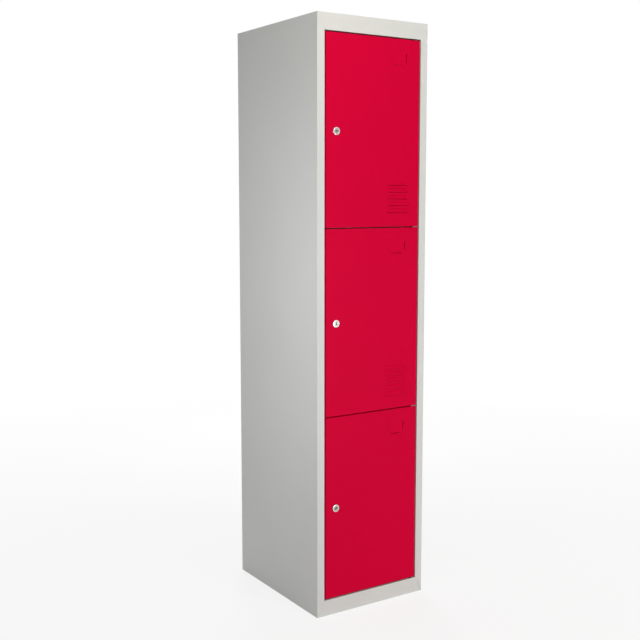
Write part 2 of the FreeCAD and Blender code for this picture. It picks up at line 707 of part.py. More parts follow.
# Stiffeners: channels spot-welded behind the middle of each door
def door_stiffener(door, level):
    name = f"{door}_stiffener"
    high = (f"{door_bottom(level)} + stiffener_margin", f"{door_top(level)} - stiffener_margin")
    seat = f"({FRONT} + wall)"
    crown = f"({seat} + stiffener_depth)"
    half = "(stiffener_width / 2)"
    walls = [span(f"{name}_crown", half, (f"{crown} - wall", crown), high)]
    for sign in (LOCK_SIDE, HINGE_SIDE):
        outer = f"{half} * {sign}"
        inner = f"({half} - wall) * {sign}"
        edge = f"({half} + stiffener_flange) * {sign}"
        web = sorted((inner, outer), key=number)
        foot = sorted((inner, edge), key=number)
        walls.append(block(f"{name}_web", (web[0], seat, high[0]), (web[1], crown, high[1])))
        walls.append(block(f"{name}_foot", (foot[0], seat, high[0]), (foot[1], f"{seat} + wall", high[1])))
    node(f"{door}_door_stiffener", joined(f"{name}_walls", walls))


# Bushes: flanged nylon rings in the door's ends, running on the hinge pins
def door_bushes(door, level):
    bore = "(pin_radius + run_gap)"
    rim = f"({BUSH_RADIUS} + bush_rim)"
    profile = [
        (bore, "-bush_flange"),
        (rim, "-bush_flange"),
        (rim, "0"),
        (BUSH_RADIUS, "0"),
        (BUSH_RADIUS, "bush_length"),
        (bore, "bush_length"),
    ]
    foot = turned(f"{door}_foot_bush_body", profile)
    head = turned(f"{door}_head_bush_body", profile)
    node(f"{door}_door_foot_bush", placed(foot, PIVOT_X, PIVOT_Y, door_bottom(level)))
    node(f"{door}_door_head_bush", placed(head, PIVOT_X, PIVOT_Y, door_top(level), UPSIDE_DOWN))


# Locks: a barrel clamped in the door by a nut, and a plug that turns the cam behind the stop lip
def door_lock(door, level):
    place = (LOCK_X, FRONT, door_middle(level))
    barrel_end = f"-({CAM_DEPTH} - turn_gap)"
    bore = "(plug_radius + run_gap)"
    housing = turned(f"{door}_lock_housing_body", [
        (bore, barrel_end),
        ("barrel_radius", barrel_end),
        ("barrel_radius", "0"),
        ("lock_flange_radius", "0"),
        ("lock_flange_radius", "lock_proud - lock_bevel"),
        ("lock_flange_radius - lock_bevel", "lock_proud"),
        (bore, "lock_proud"),
    ])
    node(f"{door}_lock_housing", placed(housing, *place, TO_FRONT))

    blank = doc.addObject("Part::Prism", f"{door}_nut_blank")
    blank.Polygon = NUT_SIDES
    blank.setExpression("Circumradius", bind("nut_radius"))
    blank.setExpression("Height", bind("nut_height"))
    nut_place = (LOCK_X, f"{FRONT} + wall + nut_height", door_middle(level))
    placed(blank, *nut_place, TO_FRONT)
    thread = rod(f"{door}_nut_bore", "barrel_radius + barrel_gap", "nut_height", nut_place, TO_FRONT)
    node(f"{door}_lock_nut", cut(f"{door}_nut", blank, [thread]))

    plug_end = f"-{CAM_DEPTH}"
    plug = turned(f"{door}_lock_plug_body", [
        ("0", plug_end),
        ("plug_radius", plug_end),
        ("plug_radius", "lock_proud - plug_recess"),
        ("0", "lock_proud - plug_recess"),
    ])
    square = [rectangle("shank_size / 2", "shank_size / 2")]
    padded(plug, f"{door}_plug_shank", square, plug_end, "cam_thickness")
    slot = [rectangle("keyway_width / 2", "keyway_length / 2")]
    pocketed(plug, f"{door}_keyway", slot, "lock_proud - plug_recess", "keyway_depth", f"{door}_keyway")
    screw_hole = rod(
        f"{door}_screw_hole", "screw_radius + press_gap", "cam_thickness + screw_depth",
        (LOCK_X, f"{FRONT} + {CAM_DEPTH} + cam_thickness", door_middle(level)), TO_FRONT,
    )
    node(f"{door}_lock_plug", cut(f"{door}_plug_bored", placed(plug, *place, TO_FRONT), [screw_hole]))

    cam = doc.addObject("PartDesign::Body", f"{door}_lock_cam_body")
    half = "cam_width / 2"
    hole = "(shank_size / 2 + shank_gap)"
    plate = [
        (f"-{half}", half),
        (f"-{half}", "cam_tip - cam_length"),
        (f"cam_tip - {half}", "-cam_length"),
        (f"{half} - cam_tip", "-cam_length"),
        (half, "cam_tip - cam_length"),
        (half, half),
    ]
    padded(cam, f"{door}_cam_plate", [plate, rectangle(hole, hole)], plug_end, "cam_thickness")
    node(f"{door}_lock_cam", placed(cam, *place, TO_FRONT))

    head = f"-({CAM_DEPTH} + cam_thickness)"
    screw = turned(f"{door}_cam_screw_body", [
        ("0", f"{head} - screw_head_height"),
        ("screw_crown_radius", f"{head} - screw_head_height"),
        ("screw_head_radius", f"{head} - screw_rim_height"),
        ("screw_head_radius", head),
        ("screw_radius", head),
        ("screw_radius", f"{head} + cam_thickness + screw_depth"),
        ("0", f"{head} + cam_thickness + screw_depth"),
    ])
    node(f"{door}_cam_screw", placed(screw, *place, TO_FRONT))


for level, door in enumerate(DOORS):
    door_skin(door, level)
    door_stiffener(door, level)
    door_bushes(door, level)
    door_lock(door, level)

doc.recompute()
for item in doc.Objects:
    if "Invalid" in item.State or "Error" in item.State:
        raise RuntimeError(f"{item.Label} failed: {item.State}")
for item in nodes:
    if item.Shape.isNull() or not item.Shape.isValid() or not item.Shape.Solids:
        raise RuntimeError(f"{item.Label} is not a valid solid")

os.makedirs("parts", exist_ok=True)
for item in nodes:
    item.Shape.exportStep(f"parts/{item.Label}.step")
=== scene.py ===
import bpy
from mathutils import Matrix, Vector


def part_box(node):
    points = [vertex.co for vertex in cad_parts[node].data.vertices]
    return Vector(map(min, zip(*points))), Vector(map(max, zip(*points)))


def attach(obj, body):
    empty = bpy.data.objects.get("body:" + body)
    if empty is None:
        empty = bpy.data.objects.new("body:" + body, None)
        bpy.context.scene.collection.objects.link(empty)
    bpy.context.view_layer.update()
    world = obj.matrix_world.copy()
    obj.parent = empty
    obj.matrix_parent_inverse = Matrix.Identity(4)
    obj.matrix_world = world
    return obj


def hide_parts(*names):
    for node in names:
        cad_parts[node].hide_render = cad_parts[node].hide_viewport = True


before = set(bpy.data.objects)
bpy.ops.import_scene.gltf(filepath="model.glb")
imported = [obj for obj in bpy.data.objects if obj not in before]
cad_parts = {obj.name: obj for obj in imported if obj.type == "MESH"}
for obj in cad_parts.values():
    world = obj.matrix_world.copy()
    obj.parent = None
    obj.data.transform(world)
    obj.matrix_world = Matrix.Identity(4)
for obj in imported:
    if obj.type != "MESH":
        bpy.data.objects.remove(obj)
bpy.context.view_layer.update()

import math

import bmesh
import bpy
from mathutils import Matrix, Vector

# Three-compartment steel locker: grey folded carcass, red doors on pins, a chrome cam lock on each door.
# Metres. The doors face -Y, the hinges are at +X and the locks at -X.


# Carcass: two sides, a top, a base, a back and two shelves, all folded from thin sheet steel.
# They are spot-welded or riveted together and carry a light grey powder coat with a fine orange peel.
# Each noise in the coat is given as its scale and its detail.
GREY_PAINT = (0.70, 0.70, 0.68, 1.0)
GREY_UNEVENNESS = 0.018
PAINT_GLOSS = 0.22
CLOUD_NOISE = (3.5, 3.0)
SPECK_NOISE = (1500.0, 2.0)
SPECK_SHARE = 0.5
SHEEN_NOISE = (55.0, 4.0)
SHEEN_ROUGHNESS = (0.40, 0.52)
SWELL_NOISE = (3.0, 1.0)
SWELL_SHARE = 8.0
PEEL_NOISE = (620.0, 1.5)
PEEL_DEPTH = 0.0001
PEEL_STRENGTH = 0.25
NOISE_SPAN = (0.3, 0.7)
MIX_FIRST, MIX_SECOND, MIX_RESULT = 6, 7, 2


def set_inputs(tree, node, inputs):
    """Gives each input its value, or the socket that feeds it."""
    for name, value in inputs.items():
        if isinstance(value, bpy.types.NodeSocket):
            tree.links.new(value, node.inputs[name])
        else:
            node.inputs[name].default_value = value


def add_node(tree, kind, inputs, **settings):
    made = tree.nodes.new(kind)
    for name, value in settings.items():
        setattr(made, name, value)
    set_inputs(tree, made, inputs)
    return made


def maths(tree, operation, *values):
    return add_node(tree, "ShaderNodeMath", dict(enumerate(values)), operation=operation).outputs[0]


def ranged(tree, value, low, high, span=NOISE_SPAN):
    """A value spread from its usual span over a new range."""
    limits = {"From Min": span[0], "From Max": span[1], "To Min": low, "To Max": high}
    return add_node(tree, "ShaderNodeMapRange", {"Value": value, **limits}).outputs["Result"]


def mixed(tree, factor, first, second, blend="MIX"):
    colours = {"Factor": factor, MIX_FIRST: first, MIX_SECOND: second}
    return add_node(tree, "ShaderNodeMix", colours, data_type="RGBA", blend_type=blend).outputs[MIX_RESULT]


def object_place(tree):
    return add_node(tree, "ShaderNodeTexCoord", {}).outputs["Object"]


def noise_value(tree, place, scale, detail):
    noise = add_node(tree, "ShaderNodeTexNoise", {"Vector": place, "Scale": scale, "Detail": detail})
    return noise.outputs["Fac"]


def bumped(tree, height, distance, strength):
    bump = add_node(tree, "ShaderNodeBump", {"Height": height, "Distance": distance, "Strength": strength})
    return bump.outputs["Normal"]


def new_group(name, inputs, outputs):
    """An empty shader group, the sockets that bring its inputs, and the node that puts out its results."""
    group = bpy.data.node_groups.new(name, "ShaderNodeTree")
    for socket, kind, value in inputs:
        group.interface.new_socket(socket, in_out="INPUT", socket_type=kind).default_value = value
    for socket, kind in outputs:
        group.interface.new_socket(socket, in_out="OUTPUT", socket_type=kind)
    return group, group.nodes.new("NodeGroupInput").outputs, group.nodes.new("NodeGroupOutput")


powder_coat, coat_in, coat_out = new_group(
    "powder_coat",
    [("Paint", "NodeSocketColor", GREY_PAINT), ("Unevenness", "NodeSocketFloat", GREY_UNEVENNESS)],
    [("Color", "NodeSocketColor"), ("Roughness", "NodeSocketFloat"), ("Height", "NodeSocketFloat")],
)
coat_place = object_place(powder_coat)
coat_cloud, coat_speck, coat_shine, coat_swell, coat_peel = (
    noise_value(powder_coat, coat_place, *noise)
    for noise in (CLOUD_NOISE, SPECK_NOISE, SHEEN_NOISE, SWELL_NOISE, PEEL_NOISE)
)
coat_mottle = maths(
    powder_coat, "ADD",
    ranged(powder_coat, coat_cloud, -1.0, 1.0), ranged(powder_coat, coat_speck, -SPECK_SHARE, SPECK_SHARE),
)
coat_tone = maths(powder_coat, "MULTIPLY_ADD", coat_mottle, coat_in["Unevenness"], 1.0)
set_inputs(powder_coat, coat_out, {
    "Color": mixed(powder_coat, 1.0, coat_in["Paint"], coat_tone, blend="MULTIPLY"),
    "Roughness": ranged(powder_coat, coat_shine, *SHEEN_ROUGHNESS),
    "Height": maths(powder_coat, "MULTIPLY_ADD", coat_swell, SWELL_SHARE, coat_peel),
})


def new_material(name):
    material = bpy.data.materials.new(name)
    material.use_nodes = True
    tree = material.node_tree
    return material, tree, tree.nodes["Principled BSDF"]


def painted(name, colour, gloss, unevenness):
    """A powder-coated finish in its own colour."""
    material, tree, shader = new_material(name)
    values = {"Paint": colour, "Unevenness": unevenness}
    coat = add_node(tree, "ShaderNodeGroup", values, node_tree=powder_coat)
    set_inputs(tree, shader, {
        "Base Color": coat.outputs["Color"],
        "Roughness": coat.outputs["Roughness"],
        "Normal": bumped(tree, coat.outputs["Height"], PEEL_DEPTH, PEEL_STRENGTH),
        "Specular IOR Level": gloss,
    })
    return material


def dress(material, *names):
    """Gives CAD nodes their finish."""
    for name in names:
        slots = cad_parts[name].data.materials
        slots.clear()
        slots.append(material)


grey_coat = painted("grey_powder_coat", GREY_PAINT, PAINT_GLOSS, GREY_UNEVENNESS)
dress(
    grey_coat, "left_side_panel", "right_side_panel", "top_panel", "base_panel", "back_panel",
    "lower_shelf", "upper_shelf",
)


# Corner welds: beads that close three of the front frame's mitres, ground flush and painted with the frame.
# The mitre at the foot of the hinge side is left as an open seam.
STILE = 0.024
RAIL = 0.046
WELD_WIDTH = 0.0013
WELD_DEPTH = 0.0006
WELD_SINK = 0.00004
WELD_ENDS = 0.0012
WELD_OFFSET = 0.000325
WELD_ROUND = 0.00015
WELD_ROUND_STEPS = 2
LEFT, RIGHT, FOOT, HEAD = -1, 1, -1, 1
WELDED_CORNERS = ((LEFT, HEAD), (RIGHT, HEAD), (LEFT, FOOT))
SMOOTH_ANGLE = math.radians(40)
frame_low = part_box("base_panel")[0]
frame_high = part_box("top_panel")[1]
face_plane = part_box("top_panel")[0].y


def piece_from(bm, name, material, body):
    """A finished piece on its body, smooth over its rounded edges and sharp at its corners."""
    mesh = bpy.data.meshes.new(name)
    bm.to_mesh(mesh)
    bm.free()
    mesh.materials.append(material)
    mesh.polygons.foreach_set("use_smooth", [True] * len(mesh.polygons))
    mesh.set_sharp_from_angle(angle=SMOOTH_ANGLE)
    piece = bpy.data.objects.new(name, mesh)
    bpy.context.scene.collection.objects.link(piece)
    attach(piece, body)
    return piece


bm = bmesh.new()
for side, end in WELDED_CORNERS:
    corner = Vector((side * frame_high.x, 0, frame_high.z if end == HEAD else frame_low.z))
    mitre = Vector((-side * STILE, 0, -end * RAIL))
    offset = Vector((-side * WELD_OFFSET, face_plane + WELD_SINK + WELD_DEPTH / 2, 0))
    turn = mitre.to_track_quat("Z", "Y").to_matrix().to_4x4()
    size = Matrix.Diagonal((WELD_DEPTH, WELD_WIDTH, mitre.length - 2 * WELD_ENDS, 1.0))
    bmesh.ops.create_cube(bm, size=1.0, matrix=Matrix.Translation(corner + mitre / 2 + offset) @ turn @ size)
long_edges = [edge for edge in bm.edges if edge.calc_length() > WELD_WIDTH]
bmesh.ops.bevel(
    bm, geom=long_edges, offset=WELD_ROUND, segments=WELD_ROUND_STEPS, profile=0.5, affect="EDGES",
    material=-1,
)
welds = piece_from(bm, "corner_welds", grey_coat, "cabinet")


# Blind rivets: plain aluminium heads in two rows down the back.
# They draw the back panel against the rear flanges of the sides.
RIVET_METAL = (0.62, 0.63, 0.64, 1.0)
RIVET_GRAIN = 900.0
RIVET_ROUGHNESS = 0.5
GRAIN_DETAIL = 3.0
GRAIN_DEPTH = 0.00004
GRAIN_STRENGTH = 0.3
ROUGHNESS_SPREAD = 0.25
TARNISH_SCALE = 0.2
TARNISH_DETAIL = 2.0
TARNISH_TONE = (0.86, 1.0)
UNSTRETCHED = (1.0, 1.0, 1.0)


def metal(name, colour, grain_scale, roughness, stretch=UNSTRETCHED):
    """A bare or plated metal with a cloudy tone and a fine grain; stretch draws the grain out."""
    material, tree, shader = new_material(name)
    place = object_place(tree)
    drawn = add_node(tree, "ShaderNodeMapping", {"Vector": place, "Scale": stretch}).outputs["Vector"]
    grain = noise_value(tree, drawn, grain_scale, GRAIN_DETAIL)
    tarnish = noise_value(tree, place, grain_scale * TARNISH_SCALE, TARNISH_DETAIL)
    rough_low, rough_high = roughness * (1 - ROUGHNESS_SPREAD), roughness * (1 + ROUGHNESS_SPREAD)
    set_inputs(tree, shader, {
        "Base Color": mixed(tree, 1.0, colour, ranged(tree, tarnish, *TARNISH_TONE), blend="MULTIPLY"),
        "Metallic": 1.0,
        "Roughness": ranged(tree, grain, rough_low, rough_high),
        "Normal": bumped(tree, grain, GRAIN_DEPTH, GRAIN_STRENGTH),
    })
    return material


dress(metal("rivet_aluminium", RIVET_METAL, RIVET_GRAIN, RIVET_ROUGHNESS), "back_rivets")


# Hinge plates and pins: flat steel noses, painted with the frame, pass through the jamb where two doors meet.
# Their grey is painted darker, as painted shade for the narrow gap they sit in.
# Round plates are welded on the sill and under the head; they are painted black as painted shade for the gaps
# over and under the doors. A bare turned pin is pressed through each plate.
HINGES = ("sill", "lower", "upper", "head")
SHADED_NOSE_GREY = (0.27, 0.27, 0.26, 1.0)
SHADED_NOSE_UNEVENNESS = 0.05
END_PLATE_SHADE_BLACK = (0.03, 0.03, 0.03, 1.0)
END_PLATE_SHADE_UNEVENNESS = 0.1
PIN_METAL = (0.50, 0.50, 0.49, 1.0)
PIN_GRAIN = 1800.0
PIN_ROUGHNESS = 0.28
PIN_STRETCH = (0.2, 0.2, 3.0)

# Painted shade: the noses' grey is darkened to stand for the shade in the narrow meeting gap.
nose_shade_coat = painted("nose_painted_shade_coat", SHADED_NOSE_GREY, PAINT_GLOSS, SHADED_NOSE_UNEVENNESS)
dress(nose_shade_coat, "lower_hinge_plate", "upper_hinge_plate")
# Painted shade: the sill and head plates are painted black to stand for the shade in the gaps over and under
# the doors.
end_plate_shade_coat = painted("end_plate_painted_shade", END_PLATE_SHADE_BLACK, PAINT_GLOSS, END_PLATE_SHADE_UNEVENNESS)
dress(end_plate_shade_coat, "sill_hinge_plate", "head_hinge_plate")
pin_steel = metal("turned_pin_steel", PIN_METAL, PIN_GRAIN, PIN_ROUGHNESS, stretch=PIN_STRETCH)
dress(pin_steel, *(f"{hinge}_hinge_pin" for hinge in HINGES))


# Door buffers: soft black rubber discs stuck to the stop lip behind the lock edge of each door.
# They quieten the door and have a moulded, slightly dusty skin.
RUBBER = (0.022, 0.022, 0.023, 1.0)
RUBBER_BLOOM = (0.05, 0.05, 0.05, 1.0)
RUBBER_GRAIN = 1600.0
RUBBER_ROUGHNESS = 0.78
MOULD_DETAIL = 2.0
MOULD_DEPTH = 0.00005
MOULD_STRENGTH = 0.3
MOULD_SPREAD = 0.08
BLOOM_SCALE = 0.1
BLOOM_DETAIL = 3.0


def moulded(name, colour, bloom, grain_scale, roughness):
    """Rubber or plastic with a fine moulded grain and a paler bloom in patches."""
    material, tree, shader = new_material(name)
    place = object_place(tree)
    grain = noise_value(tree, place, grain_scale, MOULD_DETAIL)
    patch = noise_value(tree, place, grain_scale * BLOOM_SCALE, BLOOM_DETAIL)
    set_inputs(tree, shader, {
        "Base Color": mixed(tree, ranged(tree, patch, 0.0, 1.0), colour, bloom),
        "Roughness": ranged(tree, grain, roughness - MOULD_SPREAD, roughness + MOULD_SPREAD),
        "Normal": bumped(tree, grain, MOULD_DEPTH, MOULD_STRENGTH),
    })
    return material


dress(moulded("buffer_rubber", RUBBER, RUBBER_BLOOM, RUBBER_GRAIN, RUBBER_ROUGHNESS), "door_buffers")


# Door skins: shallow pans folded from one sheet, with a lip turned in round the back, in red powder coat.
# Card tabs are lanced out of the face near the top.
# The upper and middle doors have louvres pressed near the foot.
DOORS = ("lower", "middle", "upper")
LOUVRED = ("middle", "upper")
RED_PAINT = (0.67, 0.0006, 0.037, 1.0)
RED_GLOSS = 0.02
RED_UNEVENNESS = 0.015
SHEET = 0.0008
FOLD_RADIUS = 0.0014
FOLD_STEPS = 3
FOLD_ANGLE = 1.0
FACE_BORDER = 0.012
DOOR_LIP = 0.012
VENT_INSET = 0.076
VENT_RISE = 0.042
LOUVRE_COUNT = 5
LOUVRE_PITCH = 0.0192
LOUVRE_LENGTH = 0.077
LOUVRE_HEIGHT = 0.010
LOUVRE_DEPTH = 0.0035
LOUVRE_END = 0.009
HOOD_STEPS_ROUND = 32
HOOD_STEPS_ALONG = 16
SLOT_INSET = 0.0027
SLOT_RISE = 0.0075
SLOT_DROP = 0.0008
CARD_WIDTH = 0.064
CARD_DROP = 0.041
CARD_HEIGHT = 0.037
TAB_LENGTH = 0.023
FOOT_TAB_LENGTH = 0.034
TAB_REACH = 0.0045
TAB_STANDOFF = 0.0014
TAB_BEND = 0.0006
TAB_BEND_STEPS = 2
TAB_GAP = 0.0008
LOCK_HOLE = 0.0091
HOLE_BORDER = 0.016
HOLE_STEPS = 32
WINDOW_SIDES = 4
NEAR = 1e-6
QUARTER_TURN = math.radians(90)
ACROSS = Vector((1, 0, 0))
UP = Vector((0, 0, 1))
red_coat = painted("red_powder_coat", RED_PAINT, RED_GLOSS, RED_UNEVENNESS)


def only_verts(items):
    return [item for item in items if isinstance(item, bmesh.types.BMVert)]


def with_rims(faces):
    """Faces together with their edges and vertices, each once."""
    return list(dict.fromkeys(item for face in faces for item in (face, *face.edges, *face.verts)))


def on_face(face):
    return all(abs(vert.co.y - face_plane) < NEAR for vert in face.verts)


def in_window(point, window):
    left, right, low, high = window
    return left - NEAR < point.x < right + NEAR and low - NEAR < point.z < high + NEAR


def overlaps(face, window):
    left, right, low, high = window
    across = [vert.co.x for vert in face.verts]
    up = [vert.co.z for vert in face.verts]
    beside = min(across) > right - NEAR or max(across) < left + NEAR
    return not (beside or min(up) > high - NEAR or max(up) < low + NEAR)


def cut_window(bm, window):
    """Cuts a rectangular window out of the door's face and returns the edges round it."""
    left, right, low, high = window
    for normal, reach in ((ACROSS, left), (ACROSS, right), (UP, low), (UP, high)):
        faces = [face for face in bm.faces if on_face(face) and overlaps(face, window)]
        bmesh.ops.bisect_plane(bm, geom=with_rims(faces), dist=NEAR, plane_co=normal * reach, plane_no=normal)
    inside = [face for face in bm.faces if on_face(face) and in_window(face.calc_center_median(), window)]
    rim = dict.fromkeys(edge for face in inside for edge in face.edges)
    bmesh.ops.delete(bm, geom=inside, context="FACES")
    return [edge for edge in rim if edge.is_valid]


def lock_axis(node):
    """Where a round lock piece's axis crosses the plane y = 0."""
    low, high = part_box(node)
    return Vector(((low.x + high.x) / 2, 0, (low.z + high.z) / 2))


def lock_hole(bm, axis):
    """A round hole through the door's face: a square window, bridged to a ring that is drawn up flush."""
    window = (axis.x - HOLE_BORDER, axis.x + HOLE_BORDER, axis.z - HOLE_BORDER, axis.z + HOLE_BORDER)
    bmesh.ops.subdivide_edges(bm, edges=cut_window(bm, window), cuts=HOLE_STEPS // WINDOW_SIDES - 1)
    behind = Vector((0, HOLE_BORDER, 0))
    place = Matrix.Translation(Vector((axis.x, face_plane, axis.z)) + behind)
    turn = Matrix.Rotation(QUARTER_TURN, 4, "X")
    ring = bmesh.ops.create_circle(bm, segments=HOLE_STEPS, radius=LOCK_HOLE, matrix=place @ turn)["verts"]
    bare = [edge for edge in bm.edges if len(edge.link_faces) < 2]
    bmesh.ops.bridge_loops(bm, edges=[
        edge for edge in bare if all(in_window(vert.co, window) for vert in edge.verts)
    ])
    bmesh.ops.translate(bm, verts=ring, vec=-behind)


def fold_tab(bm, rim, side, reach):
    """Folds a tab out from one side of its window and over it; side says which edge it hangs on."""
    root = [edge for edge in rim if side(edge.verts[0].co) and side(edge.verts[1].co)]
    bends = []
    for move in (Vector((0, -TAB_STANDOFF, 0)), reach):
        bends += root
        grown = bmesh.ops.extrude_edge_only(bm, edges=root)["geom"]
        verts = only_verts(grown)
        bmesh.ops.translate(bm, verts=verts, vec=move)
        edges = [item for item in grown if isinstance(item, bmesh.types.BMEdge)]
        root = [edge for edge in edges if all(vert in verts for vert in edge.verts)]
    bmesh.ops.bevel(
        bm, geom=bends, offset=TAB_BEND, segments=TAB_BEND_STEPS, profile=0.5, affect="EDGES", material=-1,
    )


def card_tabs(bm, middle, top):
    """Two side tabs and a foot tab, open at the top for the card."""
    left = middle - CARD_WIDTH / 2
    right = middle + CARD_WIDTH / 2
    foot = top - CARD_HEIGHT
    reach = TAB_REACH + TAB_GAP
    half_foot = FOOT_TAB_LENGTH / 2
    left_rim = cut_window(bm, (left, left + reach, top - TAB_LENGTH, top))
    right_rim = cut_window(bm, (right - reach, right, top - TAB_LENGTH, top))
    foot_rim = cut_window(bm, (middle - half_foot, middle + half_foot, foot, foot + reach))
    fold_tab(bm, left_rim, lambda point: abs(point.x - left) < NEAR, ACROSS * TAB_REACH)
    fold_tab(bm, right_rim, lambda point: abs(point.x - right) < NEAR, ACROSS * -TAB_REACH)
    fold_tab(bm, foot_rim, lambda point: abs(point.z - foot) < NEAR, UP * TAB_REACH)


def louvre(bm, middle, foot):
    """A pressed hood with rounded ends, open along its foot, over a slot in the face."""
    slot_half = LOUVRE_LENGTH / 2 - SLOT_INSET
    cut_window(bm, (middle - slot_half, middle + slot_half, foot - SLOT_DROP, foot + SLOT_RISE))
    turn = Matrix.Rotation(QUARTER_TURN, 4, "Y")
    hood = bmesh.ops.create_uvsphere(
        bm, u_segments=HOOD_STEPS_ROUND, v_segments=HOOD_STEPS_ALONG, radius=1.0, matrix=turn,
    )["verts"]
    bmesh.ops.scale(bm, verts=hood, vec=(LOUVRE_END, LOUVRE_DEPTH, LOUVRE_HEIGHT))
    geometry = with_rims(dict.fromkeys(face for vert in hood for face in vert.link_faces))
    for normal in ((0, 1, 0), (0, 0, -1)):
        cut = bmesh.ops.bisect_plane(
            bm, geom=geometry, dist=NEAR, plane_co=(0, 0, 0), plane_no=normal, clear_outer=True,
        )
        geometry = [item for item in cut["geom"] if item.is_valid]
    hood = only_verts(geometry)
    for vert in hood:
        if abs(vert.co.x) > NEAR:
            vert.co.x += math.copysign(LOUVRE_LENGTH / 2 - LOUVRE_END, vert.co.x)
    bmesh.ops.translate(bm, verts=hood, vec=(middle, face_plane + SHEET / 2, foot))


def door_pan(bm, low, high):
    """The folded sheet: face, four walls and the lip round the back, with rounded folds."""
    size = high - low
    centre = (low + high) / 2
    bmesh.ops.create_cube(bm, size=1.0, matrix=Matrix.Translation(centre) @ Matrix.Diagonal((*size, 1.0)))
    back = max(bm.faces, key=lambda face: face.normal.y)
    rim = list(back.edges)
    bmesh.ops.delete(bm, geom=[back], context="FACES_ONLY")
    for vert in only_verts(bmesh.ops.extrude_edge_only(bm, edges=rim)["geom"]):
        vert.co.x -= math.copysign(DOOR_LIP, vert.co.x - centre.x)
        vert.co.z -= math.copysign(DOOR_LIP, vert.co.z - centre.z)
    folds = [edge for edge in bm.edges if len(edge.link_faces) == 2 and edge.calc_face_angle() > FOLD_ANGLE]
    bmesh.ops.bevel(
        bm, geom=folds, offset=FOLD_RADIUS, segments=FOLD_STEPS, profile=0.5, affect="EDGES", material=-1,
        clamp_overlap=True,
    )
    bmesh.ops.inset_region(bm, faces=[face for face in bm.faces if on_face(face)], thickness=FACE_BORDER)
    bmesh.ops.recalc_face_normals(bm, faces=bm.faces)


def even_shading(piece):
    """Keeps flat faces flat beside their rounded edges."""
    weights = piece.modifiers.new("flat_faces", "WEIGHTED_NORMAL")
    weights.keep_sharp = True


for door in DOORS:
    skin_low, skin_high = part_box(f"{door}_door_skin")
    vent_middle = skin_high.x - VENT_INSET
    bm = bmesh.new()
    door_pan(bm, Vector((skin_low.x, face_plane, skin_low.z)), skin_high)
    lock_hole(bm, lock_axis(f"{door}_lock_housing"))
    card_tabs(bm, vent_middle, skin_high.z - CARD_DROP)
    bmesh.ops.recalc_face_normals(bm, faces=bm.faces)
    if door in LOUVRED:
        for step in range(LOUVRE_COUNT):
            louvre(bm, vent_middle, skin_low.z + VENT_RISE + step * LOUVRE_PITCH)
    bmesh.ops.solidify(bm, geom=bm.faces[:], thickness=SHEET)
    skin = piece_from(bm, f"{door}_door_pressed_skin", red_coat, f"{door}_door")
    even_shading(skin)
    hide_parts(f"{door}_door_skin")


# Door stiffeners: hat channels spot-welded upright behind the middle of each door, sprayed red with it.
# Flanged black nylon bushes are pushed into each door's foot and head, where the hinge pins turn in them.
NYLON = (0.030, 0.030, 0.032, 1.0)
NYLON_BLOOM = (0.055, 0.055, 0.056, 1.0)
NYLON_GRAIN = 1200.0
NYLON_ROUGHNESS = 0.45

dress(red_coat, *(f"{door}_door_stiffener" for door in DOORS))
nylon = moulded("bush_nylon", NYLON, NYLON_BLOOM, NYLON_GRAIN, NYLON_ROUGHNESS)
dress(nylon, *(f"{door}_door_{end}_bush" for door in DOORS for end in ("foot", "head")))


# Lock housings: chrome-plated barrels through the door, with a rounded rim in front and a duller step in it.
# A zinc-plated nut behind the door clamps each one.
CHROME = (0.70, 0.70, 0.69, 1.0)
CHROME_GRAIN = 2400.0
CHROME_ROUGHNESS = 0.13
DULL_CHROME = (0.40, 0.40, 0.37, 1.0)
DULL_GRAIN = 2600.0
DULL_ROUGHNESS = 0.24
ZINC = (0.56, 0.56, 0.53, 1.0)
ZINC_GRAIN = 500.0
ZINC_ROUGHNESS = 0.46
RIM_STEP_RADIUS = 0.0076
RIM_STEP_DEPTH = 0.0007
RIM_ROUND = 0.0014
RIM_BACK_ROUND = 0.0007
STEP_ROUND = 0.0003
ROUND_STEPS = 3
BARREL_STEP = 0.002
PLUG_PLAY = 0.00006
LATHE_STEPS = 64
SAME_PLACE = 1e-7
SECOND_FINISH = 1
chrome = metal("lock_chrome", CHROME, CHROME_GRAIN, CHROME_ROUGHNESS)
dull_chrome = metal("dull_chrome", DULL_CHROME, DULL_GRAIN, DULL_ROUGHNESS)
zinc = metal("zinc_plate", ZINC, ZINC_GRAIN, ZINC_ROUGHNESS)


def lathe(bm, profile):
    """A turned piece about the Y axis; the profile's points are (radius, y)."""
    verts = [bm.verts.new((radius, depth, 0)) for radius, depth in profile]
    edges = [bm.edges.new(pair) for pair in zip(verts, verts[1:])]
    bmesh.ops.spin(
        bm, geom=verts + edges, cent=(0, 0, 0), axis=(0, 1, 0), angle=math.tau, steps=LATHE_STEPS,
        use_merge=True,
    )
    bmesh.ops.remove_doubles(bm, verts=bm.verts, dist=SAME_PLACE)
    bmesh.ops.recalc_face_normals(bm, faces=bm.faces)


def round_rings(bm, radius, depth, width):
    """Rounds the circular edges of a turned piece that lie at one radius and depth."""
    ring = [
        edge for edge in bm.edges
        if all(abs(vert.co.y - depth) < NEAR for vert in edge.verts)
        and all(abs(vert.co.xz.length - radius) < NEAR for vert in edge.verts)
    ]
    bmesh.ops.bevel(
        bm, geom=ring, offset=width, segments=ROUND_STEPS, profile=0.5, affect="EDGES", material=-1,
    )


